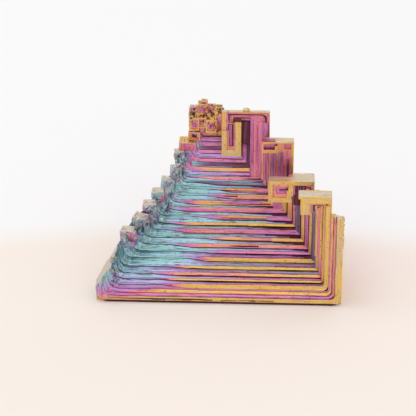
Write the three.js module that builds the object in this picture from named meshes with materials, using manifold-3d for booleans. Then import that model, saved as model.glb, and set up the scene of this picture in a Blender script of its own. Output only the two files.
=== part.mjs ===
// Bismuth hopper crystal: one grown solid, in mm, +Z up, resting on its flat sawn base.
// A square hopper recess opens to the front (-Y) and the top; its bottom, right and left walls
// are nested square frames that step inwards, upwards and backwards to the apex.
// The right ends of the frames grow on into hooks, the left side is a slanted flat crust,
// and the back is a stepped pyramid.
import * as THREE from 'three';
import { mergeVertices } from 'three/addons/utils/BufferGeometryUtils.js';
import Module from 'manifold-3d';

const wasm = await Module();
wasm.setup();

// Overall size
const HALF_WIDTH = 22.5; // half of the front rim's length
const DEPTH = 31.0; // front rim to the back of the base
const CENTRE_Y = DEPTH / 2; // the frames are laid out with the front rim at y = 0
const GRID = 1 / 16; // every block's faces lie on this grid, which floats hold exactly

// Hopper frames: each ring k is a frame whose bottom and right bars lie RISE in from the rim
const RINGS = 23; // nested frames between the rim and the apex
const RIM_RISE = 1.3; // height of the front rim bar
const APEX_RISE = 19.9; // height of the last tread
const PITCH = (APEX_RISE - RIM_RISE) / RINGS;
// how far back a frame stands for its rise: [rise, depth]
const FLOOR_PROFILE = [[0, 0], [1.3, 0.4], [2.8, 1.6], [3.6, 3.6], [4.6, 6.8], [5.6, 9.6],
  [7.1, 12.6], [9, 16.2], [10, 17.6], [12, 19.4], [16, 22.8], [19.2, 26.2], [20.5, 27]];
// how far in from the left rim a frame's bottom bar ends: [rise, inset]
const LEFT_PROFILE = [[0, 0.9], [2.6, 3.0], [4.7, 4.5], [5.9, 7.1], [7.7, 9.1], [9.8, 10.8],
  [11.5, 12.8], [15.3, 15.1], [20.5, 18.2]];

// Left crust: the plane that cuts the left side, through the top of the front left corner
const CRUST_POINT = [-HALF_WIDTH, 0, 4.7];
const CRUST_NORMAL = [-0.883, 0.232, 0.409];
const CUTTER = 80; // edge of the block that cuts the crust plane

// Right wall: groups of frames that share an outer face, from the front one to the apex.
// outer: x of the outer face; top, front and back: of the group; arm: depth of the top bar
// from its front; bar: thickness of the top bar; left: x of the top bar's free end
const GROUPS = [
  { outer: 22.5, top: 17.6, front: 0.0, back: 11.0, arm: 2.0, bar: 1.2, left: 20.0 },
  { outer: 20.35, top: 21.1, front: 2.0, back: 15.5, arm: 3.0, bar: 1.4, left: 14.2 },
  { outer: 17.3, top: 20.8, front: 11.0, back: 20.0, arm: 2.4, bar: 0.9, left: 8.8 },
  { outer: 13.4, top: 25.1, front: 17.5, back: 25.0, arm: 2.2, bar: 0.8, left: 7.4 },
  { outer: 8.8, top: 29.5, front: 21.5, back: 28.3, arm: 1.0, bar: 1.1, left: -0.2 },
];
const WALL_STEPS = 3; // steps by which the wall behind a hook goes down to the back
const STEP_DROP = 2.1; // height of one of those steps
const UPRIGHT = 0.7; // width of a hook's right upright
const OUTER_WALL = 1.6; // thickness of the wall along a group's outer face
const GROUP_LAP = 0.9; // how far a group's first frame reaches inside its outer face

// Tabs that hang from the free ends of the hooks: x range, z range, front, thickness
const TABS = [
  { x: [14.8, 16.5], z: [17.5, 20.2], front: 2.0, thick: 1.6 },
  { x: [8.8, 13.1], z: [15.6, 20.2], front: 11.0, thick: 1.4 },
  { x: [7.4, 9.9], z: [18.4, 24.8], front: 18.1, thick: 3.0 },
  { x: [9.9, 11.6], z: [17.5, 24.8], front: 17.9, thick: 4.0 },
  { x: [-0.2, 0.9], z: [20.2, 29.0], front: 21.5, thick: 1.6 },
  { x: [2.4, 3.5], z: [20.2, 25.6], front: 21.5, thick: 1.6 },
  { x: [0.5, 3.0], z: [20.2, 21.4], front: 21.5, thick: 1.6 },
  { x: [0.5, 3.0], z: [20.2, 26.5], front: 22.4, thick: 1.4 },
];
// Wall that closes the apex hook behind: x range, y range, z range
const APEX_WALL = [[-0.2, 8.8], [24.6, 28.0], [0, 28.1]];
// Square-spiral recess in the plate of the third hook: margin from the plate's edge, depth
const PLATE_STEPS = [[0.75, 0.35], [1.45, 0.8]];

// Back: a stepped pyramid of square lifts, each smaller than the one under it
const LIFTS = 8;
const LIFT_BASE = { right: 22.5, back: DEPTH, top: 3.2 };
const LIFT_APEX = { right: 3.0, back: 28.6, top: 22.5 };

// Left ridge: height of the frames' left arms for their depth, and the cubes grown along it,
// [left x, front y, top z, edge]
const RIDGE_PROFILE = [[0, 4.7], [3, 7.2], [8, 10.2], [11, 11.4], [14, 12.8], [16.5, 14.3],
  [18.5, 15.9], [20, 17.4], [22, 19.8], [23.3, 21.6], [27, 22.4]];
const RIDGE_CUBES = [
  [-20.3, 3.2, 7.6, 1.8], [-18.1, 7.4, 10.6, 2.4], [-16.1, 10.6, 11.6, 2.6],
  [-14.6, 13.4, 12.9, 2.5], [-13.0, 15.9, 14.5, 2.3], [-11.4, 17.9, 16.2, 2.1],
  [-9.9, 19.6, 17.9, 1.8], [-9.1, 21.5, 20.6, 1.8], [-8.0, 22.8, 22.3, 3.1],
];
// Apex cluster: cubes grown over each other, [left x, front y, top z, edge]
const CLUSTER_CUBES = [
  [-6.5, 23.9, 23.9, 2.3], [-6.5, 24.0, 26.7, 3.1], [-6.4, 24.5, 28.4, 1.8],
  [-4.8, 24.9, 29.3, 2.4], [-4.1, 25.4, 30.1, 1.6], [-3.3, 24.9, 28.4, 2.6],
  [-3.3, 23.9, 26.4, 2.1], [-1.4, 24.4, 28.7, 1.5], [-5.0, 26.0, 26.0, 2.6],
];
const CLUSTER_ROOT = [[-6.2, 0.4], [25.0, 28.0], [0, 25.2]]; // the body under the cluster
const ROOT_DROP = 6.0; // how far a cube's body reaches down into the crystal

// Turns a closed three.js geometry into a solid
function solid(geometry) {
  geometry.deleteAttribute('normal');
  geometry.deleteAttribute('uv');
  const merged = mergeVertices(geometry.index ? geometry.toNonIndexed() : geometry, 1e-4);
  return new wasm.Manifold(new wasm.Mesh({
    numProp: 3,
    vertProperties: new Float32Array(merged.attributes.position.array),
    triVerts: new Uint32Array(merged.index.array),
  }));
}

const snap = (value) => Math.round(value / GRID) * GRID;

// A box between two corners, on the grid
function block(...ranges) {
  const [[x0, x1], [y0, y1], [z0, z1]] = ranges.map((range) => range.map(snap));
  const box = new THREE.BoxGeometry(x1 - x0, y1 - y0, z1 - z0);
  return solid(box.translate((x0 + x1) / 2, (y0 + y1) / 2, (z0 + z1) / 2));
}

// Straight-line interpolation in a list of [key, value] pairs
function along(profile, key) {
  const end = profile.findIndex((pair) => pair[0] >= key);
  if (end <= 0) return profile[end < 0 ? profile.length - 1 : 0][1];
  const [k0, v0] = profile[end - 1];
  const [k1, v1] = profile[end];
  return v0 + ((v1 - v0) * (key - k0)) / (k1 - k0);
}

const mix = (a, b, t) => a + (b - a) * t;

// Bottom bars: each frame's tread, from its riser back to the inside of the pyramid
function bottomBars() {
  const bars = [];
  for (let k = 0; k <= RINGS; k += 1) {
    const rise = RIM_RISE + k * PITCH;
    const front = k === 0 ? 0 : along(FLOOR_PROFILE, rise - PITCH / 2);
    const back = mix(LIFT_BASE.back, LIFT_APEX.back, rise / LIFT_APEX.top);
    bars.push(block([-HALF_WIDTH, HALF_WIDTH - rise], [front, back], [0, rise]));
  }
  return bars;
}

// Left bars: the frames' left arms, which reach up to the crust plane
function leftBars() {
  const bars = [];
  for (let k = 0; k <= RINGS; k += 1) {
    const rise = RIM_RISE + k * PITCH;
    const front = k === 0 ? 0 : along(FLOOR_PROFILE, rise - PITCH / 2);
    const inner = along(LEFT_PROFILE, rise) - HALF_WIDTH;
    const top = along(RIDGE_PROFILE, front);
    bars.push(block([-HALF_WIDTH, inner], [front, LIFT_APEX.back], [0, top]));
  }
  return bars;
}

// A wall of a group, which starts at a given depth and goes down in steps to the group's back
function steppedWall([x0, x1], start, group) {
  const steps = [];
  for (let j = 0; j < WALL_STEPS; j += 1) {
    const end = mix(group.front + group.arm, group.back, (j + 1) / WALL_STEPS);
    const top = group.top - group.bar - j * STEP_DROP;
    if (end > start) steps.push(block([x0, x1], [start, end], [0, top]));
  }
  return steps;
}

// Right bars: the frames' upright arms, grouped behind their hooks
function rightBars() {
  const bars = [];
  for (let k = 0; k <= RINGS; k += 1) {
    const rise = RIM_RISE + k * PITCH;
    const inner = HALF_WIDTH - rise;
    const front = k === 0 ? 0 : along(FLOOR_PROFILE, rise - PITCH / 2);
    const fits = GROUPS.filter((g) => g.outer >= inner + GROUP_LAP);
    const group = fits[fits.length - 1] ?? GROUPS[0];
    bars.push(...steppedWall([inner, group.outer], front, group));
  }
  return bars;
}

// Hooks: the top bar of each group, its right upright, and what hangs from its free end
function hooks() {
  const parts = [block(...APEX_WALL)];
  for (const group of GROUPS) {
    const { outer, top, front, arm, bar, left } = group;
    parts.push(block([left, outer], [front, front + arm], [top - bar, top]));
    parts.push(block([outer - UPRIGHT, outer], [front, front + arm], [0, top]));
    parts.push(...steppedWall([outer - OUTER_WALL, outer], front + arm / 2, group));
  }
  for (const { x, z, front, thick } of TABS) {
    parts.push(block(x, [front, front + thick], z));
  }
  return parts;
}

// The square-spiral recess of the third hook's plate
function plateRecess() {
  const { x, z, front } = TABS[1];
  return PLATE_STEPS.map(([margin, depth]) => block(
    [x[0] + margin, x[1] - margin], [front - 1, front + depth], [z[0] + margin, z[1] - margin],
  ));
}

// Back and right: square lifts under the frames, each standing back from the one below
function lifts() {
  const parts = [];
  for (let i = 0; i < LIFTS; i += 1) {
    const t = i / (LIFTS - 1);
    const top = mix(LIFT_BASE.top, LIFT_APEX.top, t);
    const front = along(FLOOR_PROFILE, Math.min(top, APEX_RISE)) + 1;
    const right = mix(LIFT_BASE.right, LIFT_APEX.right, t);
    const back = mix(LIFT_BASE.back, LIFT_APEX.back, t);
    parts.push(block([-HALF_WIDTH, right], [front, back], [0, top]));
  }
  return parts;
}

// A small grown cube on a body that roots it in the crystal
function cube([left, front, top, edge]) {
  const foot = Math.max(top - edge - ROOT_DROP, 0);
  return block([left, left + edge], [front, front + edge], [foot, top]);
}

// Everything outside the crust plane, as a block turned to the plane's normal
function crustCutter() {
  const normal = new THREE.Vector3(...CRUST_NORMAL).normalize();
  const cutter = new THREE.BoxGeometry(CUTTER, CUTTER, CUTTER).translate(0, 0, CUTTER / 2);
  cutter.applyQuaternion(
    new THREE.Quaternion().setFromUnitVectors(new THREE.Vector3(0, 0, 1), normal),
  );
  return solid(cutter.translate(...CRUST_POINT));
}

const union = (parts) => parts.reduce((whole, part) => whole.add(part));

const frames = union([...bottomBars(), ...leftBars(), ...rightBars(), ...lifts()]);
const grown = union([frames.subtract(crustCutter()), ...hooks(), block(...CLUSTER_ROOT),
  ...[...RIDGE_CUBES, ...CLUSTER_CUBES].map(cube)]);
const crystal = grown.subtract(union(plateRecess())).translate(0, -CENTRE_Y, 0);

const { vertProperties, triVerts } = crystal.getMesh();
const geometry = new THREE.BufferGeometry();
geometry.setAttribute('position', new THREE.Float32BufferAttribute(vertProperties, 3));
geometry.setIndex(Array.from(triVerts));
geometry.computeVertexNormals();

const mesh = new THREE.Mesh(geometry, new THREE.MeshStandardMaterial({
  color: 0xd98fae, roughness: 0.35, metalness: 1.0,
}));
mesh.name = 'bismuth_crystal';

const part = new THREE.Group();
part.name = 'bismuth_hopper_crystal';
part.add(mesh);

export default part;
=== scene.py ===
import math

import bmesh
import bpy
import numpy as np
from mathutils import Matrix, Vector


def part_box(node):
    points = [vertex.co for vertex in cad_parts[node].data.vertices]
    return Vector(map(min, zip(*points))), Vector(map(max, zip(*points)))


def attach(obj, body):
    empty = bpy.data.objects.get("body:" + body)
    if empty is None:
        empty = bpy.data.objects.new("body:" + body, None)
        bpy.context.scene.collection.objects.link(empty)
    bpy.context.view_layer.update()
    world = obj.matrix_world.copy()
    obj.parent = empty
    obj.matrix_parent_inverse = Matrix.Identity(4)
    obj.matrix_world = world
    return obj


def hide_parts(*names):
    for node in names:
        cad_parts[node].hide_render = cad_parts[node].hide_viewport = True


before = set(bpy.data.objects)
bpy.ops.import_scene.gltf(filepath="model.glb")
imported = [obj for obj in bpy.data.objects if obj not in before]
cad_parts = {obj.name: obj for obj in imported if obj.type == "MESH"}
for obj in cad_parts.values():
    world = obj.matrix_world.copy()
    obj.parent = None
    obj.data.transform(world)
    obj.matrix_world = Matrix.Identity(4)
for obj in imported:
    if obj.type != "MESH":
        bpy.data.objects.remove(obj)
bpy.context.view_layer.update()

low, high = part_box("bismuth_crystal")
MM = 0.001

# Viewpoint: the crystal is looked at from in front of its open recess and from a little above,
# with a long lens, so that the terraces stay almost square to the view.
VIEW_AZIMUTH, VIEW_ELEVATION = math.radians(2.5), math.radians(25.0)
VIEW_DISTANCE = 350 * MM
LENS, SENSOR = 163.6, 36.0
AIM = Vector(((low[0] + high[0]) / 2 - 2.31 * MM, low[1] + 10 * MM, low[2] + 14.78 * MM))

camera = bpy.data.objects.new("camera", bpy.data.cameras.new("camera"))
bpy.context.scene.collection.objects.link(camera)
back = Vector((math.sin(VIEW_AZIMUTH) * math.cos(VIEW_ELEVATION),
               -math.cos(VIEW_AZIMUTH) * math.cos(VIEW_ELEVATION), math.sin(VIEW_ELEVATION)))
camera.location = AIM + back * VIEW_DISTANCE
camera.rotation_mode = "QUATERNION"
camera.rotation_quaternion = (-back).to_track_quat("-Z", "Y")
camera.data.lens, camera.data.sensor_width = LENS, SENSOR
camera.data.clip_start, camera.data.clip_end = 10 * MM, 20.0
bpy.context.scene.camera = camera

# Stage: a plain pale floor that curves up far behind the crystal into a paler wall, one soft
# light overhead, a broad one in front and a white room all round.
FLOOR_NEAR, FLOOR_FAR, WALL_TOP = -1.2, 2.6, 2.4  # in metres, as the next two
FLOOR_HALF = 2.2
SWEEP_RADIUS = 0.9
CREAM_CENTRE = 150 * MM  # the cream part of the stone is round, about a point this far in front
CREAM_FADE = (24 * MM, 38 * MM)  # and it fades between these distances behind the front rim


def linear(code):
    """A colour code of six hex digits, in sRGB, as linear red, green, blue and alpha."""
    parts = np.array([int(code[i:i + 2], 16) for i in (1, 3, 5)]) / 255
    flat = np.where(parts <= 0.04045, parts / 12.92, ((parts + 0.055) / 1.055) ** 2.4)
    return (*map(float, flat), 1.0)


def add_node(tree, kind, settings=None, **links):
    """Adds a node, sets its properties or, where the key is an input, that input's value, and
    links its inputs, named with _ for a space, from sockets that are given."""
    node = tree.nodes.new(kind)
    for key, value in (settings or {}).items():
        if key in node.inputs:
            node.inputs[key].default_value = value
        else:
            setattr(node, key, value)
    for key, socket in links.items():
        wanted = key.replace("_", " ").strip()
        target = node.inputs[int(wanted[2:])] if wanted[:2] == "in" and wanted[2:].isdigit() \
            else node.inputs[wanted]
        tree.links.new(socket, target)
    return node


def new_material(name):
    """An empty node material and its tree."""
    material = bpy.data.materials.new(name)
    material.use_nodes = True
    material.node_tree.nodes.clear()
    return material, material.node_tree


def mesh_object(name, points, faces):
    """A mesh object at the origin from arrays of points and faces."""
    mesh = bpy.data.meshes.new(name)
    mesh.from_pydata(np.asarray(points).tolist(), [], [list(face) for face in faces])
    mesh.update()
    thing = bpy.data.objects.new(name, mesh)
    bpy.context.scene.collection.objects.link(thing)
    return thing


# a profile of floor, quarter circle and wall, carried straight across
turn = np.linspace(0, np.pi / 2, 24)
profile_y = np.concatenate([[FLOOR_NEAR], np.linspace(0.1, FLOOR_FAR, 14),
                            FLOOR_FAR + SWEEP_RADIUS * np.sin(turn), [FLOOR_FAR + SWEEP_RADIUS]])
profile_z = np.concatenate([[0.0], np.zeros(14), SWEEP_RADIUS * (1 - np.cos(turn)), [WALL_TOP]])
across = np.array([-FLOOR_HALF, FLOOR_HALF])
grid = np.stack([np.repeat(across, profile_y.size), np.tile(profile_y, 2),
                 np.tile(profile_z, 2) + low[2]], axis=1)
cell = np.arange(profile_y.size - 1)
floor = mesh_object("floor", grid, np.stack(
    [cell, cell + profile_y.size, cell + profile_y.size + 1, cell + 1], axis=1))
floor.data.polygons.foreach_set("use_smooth", [True] * len(floor.data.polygons))

# honed pale limestone: matt, cream, paler with distance into the backdrop's white
paint, tree = new_material("honed_cream_stone")
where = add_node(tree, "ShaderNodeTexCoord")
centred = add_node(tree, "ShaderNodeMapping", {"Location": (0, CREAM_CENTRE - low[1], 0)},
                   Vector=where.outputs["Object"])
out = add_node(tree, "ShaderNodeVectorMath", {"operation": "LENGTH"},
               in0=centred.outputs["Vector"])
fade = add_node(tree, "ShaderNodeMapRange", {"From Min": CREAM_CENTRE + CREAM_FADE[0],
                                             "From Max": CREAM_CENTRE + CREAM_FADE[1],
                                             "interpolation_type": "SMOOTHSTEP"},
                Value=out.outputs["Value"])
tint = add_node(tree, "ShaderNodeMix", {"data_type": "RGBA"}, Factor=fade.outputs["Result"])
tint.inputs[6].default_value = linear("#f4e9e1")
tint.inputs[7].default_value = linear("#f4f3f3")
stone = add_node(tree, "ShaderNodeBsdfPrincipled", {"Roughness": 0.9, "Specular IOR Level": 0.2},
                 Base_Color=tint.outputs[2])
add_node(tree, "ShaderNodeOutputMaterial", Surface=stone.outputs["BSDF"])
floor.data.materials.append(paint)

world = bpy.data.worlds.new("white_room")
bpy.context.scene.world = world
world.use_nodes = True
world.node_tree.nodes["Background"].inputs["Color"].default_value = linear("#ffffff")
world.node_tree.nodes["Background"].inputs["Strength"].default_value = 0.98
bpy.context.scene.view_settings.view_transform = "Standard"

for name, place, size, watts in (("overhead", (-0.3, 0.1, 0.7), 0.5, 0.5),
                                 ("front", (0.4, -0.9, 0.6), 0.6, 0.6)):
    lamp = bpy.data.lights.new(name, "AREA")
    lamp.shape, lamp.size, lamp.energy = "DISK", size, watts
    light = bpy.data.objects.new(name, lamp)
    light.location = place
    light.rotation_mode = "QUATERNION"
    light.rotation_quaternion = (AIM - light.location).to_track_quat("-Z", "Y")
    bpy.context.scene.collection.objects.link(light)

# Terraces: the skeletal growth of bismuth from its melt, where the edges of a square crystal
# outrun its faces. Each terrace is a thin square frame of metal, open at the top, that stands a
# little behind, above and inside the one before it, with a raised lip and a slot under it.
HALF_WIDTH = 22.5  # in mm, as all the sizes below
TERRACES = 29
# inset of a terrace from the rim for its number
RISE_KEYS = np.array([[0, 1.1], [1, 1.55], [2, 2.15], [3, 3.1], [4, 3.5], [8, 6.0], [12, 9.0],
                      [18, 14.9], [25, 20.0], [28, 22.4]])
# depth of a terrace's face, height of the left ridge there and left inset, for its inset
DEPTH_KEYS = np.array([[0, 0], [1.3, 0.4], [2.8, 1.6], [3.6, 3.6], [4.6, 6.8], [5.6, 9.6],
                       [7.1, 12.6], [9, 16.2], [10, 17.6], [12, 19.4], [16, 22.6],
                       [19.2, 24.2], [22.4, 25.3]])
LEFT_KEYS = np.array([[0, 0.9], [2.6, 3.0], [4.7, 4.5], [5.9, 7.1], [7.7, 9.1], [9.8, 10.8],
                      [11.5, 12.8], [15.3, 15.1], [20.5, 17.8], [22.4, 18.4]])
RIDGE_KEYS = np.array([[0, 4.8], [3, 8.3], [6, 10.5], [8, 10.6], [11, 11.4], [14, 12.8],
                       [16.5, 14.3], [18.5, 15.9], [20, 17.4], [22, 19.8], [23.3, 21.6],
                       [27, 22.4]])
# right wall: terraces up to an inset share an outer face and a height, and the height drops
# by ARM_DROP per mm behind a depth
WALL_KEYS = ((2.7, 22.5, 17.6, 5.0), (6.0, 20.35, 19.6, 5.0), (9.95, 17.3, 18.9, 13.4),
             (14.6, 13.4, 23.9, 31.0), (99.0, 8.8, 28.0, 31.0))
ARM_DROP = 0.3
EDGE_WAVE, FACE_WAVE, LEDGE_WAVE = 3.1, 4.3, 2.3  # spacing of the bends along a terrace
LIP = 0.07  # how far a lip stands over its tread
LIP_WIDTH, LIP_CUT = 0.24, 0.06  # a lip's top, and the cut on its front edge
SLOT = 0.24  # height of the slot under a terrace
SLOT_DEPTH = 0.65
BURIED = 0.45  # how far a terrace's root reaches into the one before it
STATION = 0.75  # spacing of the stations along a terrace
UNEVEN_FROM, UNEVEN = 5, 0.16  # from this terrace on, its inset is off by up to this
OVERLAP = 1.2  # a terrace's rear stands inside the next one by this much
SHADE_STRIP_WIDTH = 0.42  # painted shadow: a dark strip at the rear of a tread, at the foot of the next terrace and under it
CREVICE_SHADE = 1.25  # film in slots and pits, past teal and on to maroon: painted shade, over the maroon of thick oxide
NOWHERE = -99.0  # no metal lies left of this x
ROUNDED = 4  # the first frames turn up at the right in a round corner
CORNER_RADIUS, CORNER_SHRINK = 0.9, 0.15  # its size on the rim, and how much less on each next
END_RADIUS, END_LEAN = 1.1, 0.25  # the left end turns up in a corner and leans out
CLIMB, MERGED_CLIMB = 0.28, 0.58  # a tread climbs by these parts of the next step
MERGE_WIDTH = 6.5  # over which the treads come to merge
RIM_WORN, TERRACE_WORN = 0.36, 0.12
SHADOW_REACH, SHADOW_FILM = 5.0, 1.2  # painted shadow: the treads' right ends are maroon over about this length
SHADOWED_TERRACES = range(7, 22)
APEX_FROM, APEX_LEAD = 18, -2.0  # from this terrace on, the risers turn teal left of this x
# for the eight sides of a section behind its slot: change of the film, and part of the reach
# of the painted shadow on the treads' right ends
SIDE_FILM = np.array([0, 0, 0, 0, -0.08, 0, 0, -0.15])
SIDE_SHADOW = np.array([0, 0, 0, 1.0, 0.7, 0.4, 0.5, 0])
FACE_SLOPE = 0.17  # how far the top of a terrace's face leans back
dice = np.random.default_rng(83)


def keyed(keys, value):
    """Straight-line interpolation in a table of keys and values."""
    return np.interp(value, keys[:, 0], keys[:, 1])


def to_frame(points):
    """Points in mm from the middle of the front rim's foot, as metres in the CAD frame."""
    origin = np.array([(low[0] + high[0]) / 2, low[1], low[2]])
    return np.asarray(points) * MM + origin


def wander(length, step, size):
    """Smooth random offsets at the given distances: normal draws every step, joined by a
    cosine ease, times size."""
    knots = dice.normal(0, size, int(length.max() / step) + 3)
    at = length / step
    cellno = at.astype(int)
    ease = (1 - np.cos(np.pi * (at - cellno))) / 2
    return knots[cellno] * (1 - ease) + knots[cellno + 1] * ease


def path_stations(corners, spacing):
    """Stations along a path of straight legs. Gives their places, the normals and the leg
    numbers of the legs before and after each, and the distance along the path. A normal points
    to the right of the way along, which is out of the opening."""
    legs = np.diff(corners, axis=0)
    lengths = np.hypot(*legs.T)
    units = legs / lengths[:, None]
    normals = np.stack([units[:, 1], -units[:, 0]], axis=1)
    counts = np.maximum(np.round(lengths / spacing).astype(int), 1)
    legno = np.repeat(np.arange(len(counts)), counts)
    part = np.concatenate([np.arange(c) / c for c in counts])
    places = np.vstack([corners[legno] + legs[legno] * part[:, None], corners[-1:]])
    after = np.append(legno, legno[-1])
    before = np.append(legno[0], legno)
    run = np.append(0, np.cumsum(lengths))
    along = np.append(run[legno] + part * lengths[legno], run[-1])
    return places, normals[before], normals[after], before, after, along


def offset_places(places, n1, n2, u1, u2):
    """Places moved off the path to where the lines at u1 off the leg before and u2 off the leg
    after meet: p.n1 = u1 and p.n2 = u2, or straight along n1 where the legs run on."""
    c = np.sum(n1 * n2, axis=1)
    bend = np.maximum(1 - c * c, 1e-9)
    met = ((u1 - c * u2)[:, None] * n1 + (u2 - c * u1)[:, None] * n2) / bend[:, None]
    return places + np.where((bend > 1e-6)[:, None], met, n1 * u1[:, None])


def tube(rows):
    """A closed skin over rows of section points, shape stations by points by 3: quads between
    rows, and a face at each end. Turned outwards by the sign of its volume, the sum over its
    triangles a, b, c, seen from its middle, of a . (b x c)."""
    stations, points = rows.shape[:2]
    i, j = np.meshgrid(np.arange(stations - 1), np.arange(points), indexing="ij")
    i, j, k = i.ravel() * points, j.ravel(), (j.ravel() + 1) % points
    quads = np.stack([i + j, i + k, i + points + k, i + points + j], axis=1)
    faces = quads.tolist() + [list(range(points))[::-1],
                              list(range((stations - 1) * points, stations * points))]
    flat = rows.reshape(-1, 3)
    fan = np.arange(1, points - 1)
    first_end = np.stack([0 * fan, fan + 1, fan], axis=1)
    last_end = np.stack([0 * fan, fan, fan + 1], axis=1) + (stations - 1) * points
    triangles = np.concatenate([quads[:, :3], quads[:, [0, 2, 3]], first_end, last_end])
    a, b, c = (flat - flat.mean(axis=0))[triangles].transpose(1, 0, 2)
    volume = np.sum(a * np.cross(b, c))
    return flat, faces if volume > 0 else [face[::-1] for face in faces]


solids = []


def keep_solid(points, faces, oxide, lead=NOWHERE, worn=0.0, grain=0.5):
    """Adds a closed solid, in mm, to the ones that grow together into the crystal. oxide is the
    thickness of the colour film on each face, from 0 for bare silver through gold, pink and
    violet to 1 for deep teal, or a pair: on faces that look sideways, and on those that look
    up. Left of x = lead the film turns to the left side's teal. worn is how much of it is
    rubbed off to grey, and grain the way its streaks run, from 0 for across to 1 for upright."""
    points = np.asarray(points, float)
    if np.ndim(oxide) == 1 and len(oxide) == 2:
        a, b, c = points[np.array([face[:3] for face in faces])].transpose(1, 0, 2)
        normal = np.cross(b - a, c - a)
        upward = normal[:, 2] / np.maximum(np.linalg.norm(normal, axis=1), 1e-9)
        oxide = np.where(upward > 0.6, oxide[1], oxide[0])
    values = {"oxide": oxide, "lead": lead, "worn": worn, "grain": grain}
    solids.append((points, faces, {key: value * np.ones(len(faces))
                                   for key, value in values.items()}))


def square_frame(corners, thick, face, rear, oxide, roots=None, slots=None, climb=None,
                 rough=0.03, lead=(NOWHERE, NOWHERE), lip=LIP, worn=0.0, painted_shadow=False, slope=0.0):
    """One square frame of metal: a section carried along its inner edge. The section, by how far
    out of the opening and how far back, is a lip, the face down to thick, a slot under it, a
    root, and a tread that climbs towards the opening at its rear end by climb. The inner edge
    and the face wander by rough. thick, roots, slots and the film on the face, oxide, are given
    leg by leg, and the film on the tread is the last of oxide; the flag for painted shadow makes
    it maroon in a wedge at the right. The slot and a strip at the tread's rear are dark maroon:
    painted shade. The face leans back by slope."""
    places, n1, n2, before, after, along = path_stations(np.asarray(corners, float), STATION)
    thick = np.asarray(thick, float)
    roots = np.zeros(len(thick)) if roots is None else np.asarray(roots, float)
    slots = np.zeros(len(thick)) if slots is None else np.asarray(slots, float)
    t1, t2, g1, g2 = thick[before], thick[after], roots[before], roots[after]
    edge = wander(along, EDGE_WAVE, rough)
    front = face + np.abs(wander(along, FACE_WAVE, rough * 1.3))
    climb = np.zeros(len(along)) if climb is None else climb(places)
    zero = np.zeros(len(along))
    rear_at = face + rear
    sunk = front + np.where(slots[after] > 0, SLOT_DEPTH, 0.3)
    ledge = wander(along, LEDGE_WAVE, rough) + 0.05
    lip_rear = front + slope + LIP_WIDTH
    shade_start = np.maximum(rear_at - OVERLAP - SHADE_STRIP_WIDTH + 0.4 * climb, lip_rear + 0.12)
    middle = (lip_rear + shade_start) / 2
    section = [
        (edge - lip, edge - lip, front + slope + 0.05),
        (edge - lip + LIP_CUT, edge - lip + LIP_CUT, front + slope),
        (t1, t2, front),
        (t1, t2, sunk),
        (t1 + g1, t2 + g2, sunk + 0.12),
        (t1 + g1, t2 + g2, zero + rear_at),
        (edge - climb, edge - climb, zero + rear_at),
        (edge - climb, edge - climb, shade_start),
        (edge - ledge - climb * 0.55, edge - ledge - climb * 0.55, middle + 0.03),
        (edge - climb * 0.5, edge - climb * 0.5, middle),
        (edge, edge, lip_rear + LIP_CUT),
        (edge - lip, edge - lip, lip_rear),
    ]
    rows = []
    for u1, u2, y in section:
        xz = offset_places(places, n1, n2, u1, u2)
        rows.append(np.stack([xz[:, 0], y, xz[:, 1]], axis=1))
    points, faces = tube(np.stack(rows, axis=1))
    # the film on the twelve sides of the section, leg by leg, in the order of the section
    on_face = np.asarray(oxide[:-1], float)[after[:-1]][:, None]
    from_right = corners[-1][0] - places[:-1, 0][:, None]
    # the slot's two sides are dark maroon: painted shade in the slot, over thick oxide
    sides = np.concatenate([on_face - 0.05, on_face, 0 * on_face + CREVICE_SHADE,
                            0 * on_face + CREVICE_SHADE], axis=1)
    treads = oxide[-1] + SIDE_FILM + 0 * from_right
    # the strip at the tread's rear, at the foot of the next terrace, is dark maroon: painted
    # shadow
    treads[:, 2] = CREVICE_SHADE
    # painted shadow: the right ends of the treads turn maroon
    if painted_shadow:
        wedge = dice.uniform(0.6, 2.4) * SHADOW_REACH * SIDE_SHADOW
        treads = np.where(from_right < wedge, SHADOW_FILM, treads)
    film = np.concatenate([sides, treads], axis=1).ravel()
    ends = [oxide[0] - 0.12, 0.14]
    upright = np.abs(n2[:-1, 0]) > 0.7
    leads = np.tile([lead[0]] * 2 + [NOWHERE] * 2 + [lead[1]] * 2 + [NOWHERE]
                    + [lead[1]] * 4 + [lead[0]], len(sides))
    keep_solid(points, faces, np.concatenate([film, ends]), np.append(leads, lead),
               worn, np.append(np.repeat(upright, len(section)), [0.5, 0.5]))


rises = keyed(RISE_KEYS, np.arange(TERRACES))
rises[UNEVEN_FROM:] += dice.uniform(-UNEVEN, UNEVEN, TERRACES - UNEVEN_FROM)
fronts = np.array([keyed(DEPTH_KEYS, rises[k] - (rises[k] - rises[k - 1]) / 2) if k else 0.0
                   for k in range(TERRACES)])
# x where a riser starts to fade to the left: further left at the foot, and the last never do
merge_from = dice.uniform(-5.5, 3.5, TERRACES)
merge_from[:9] -= np.linspace(9, 1, 9)
merge_from[20:] = NOWHERE
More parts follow.
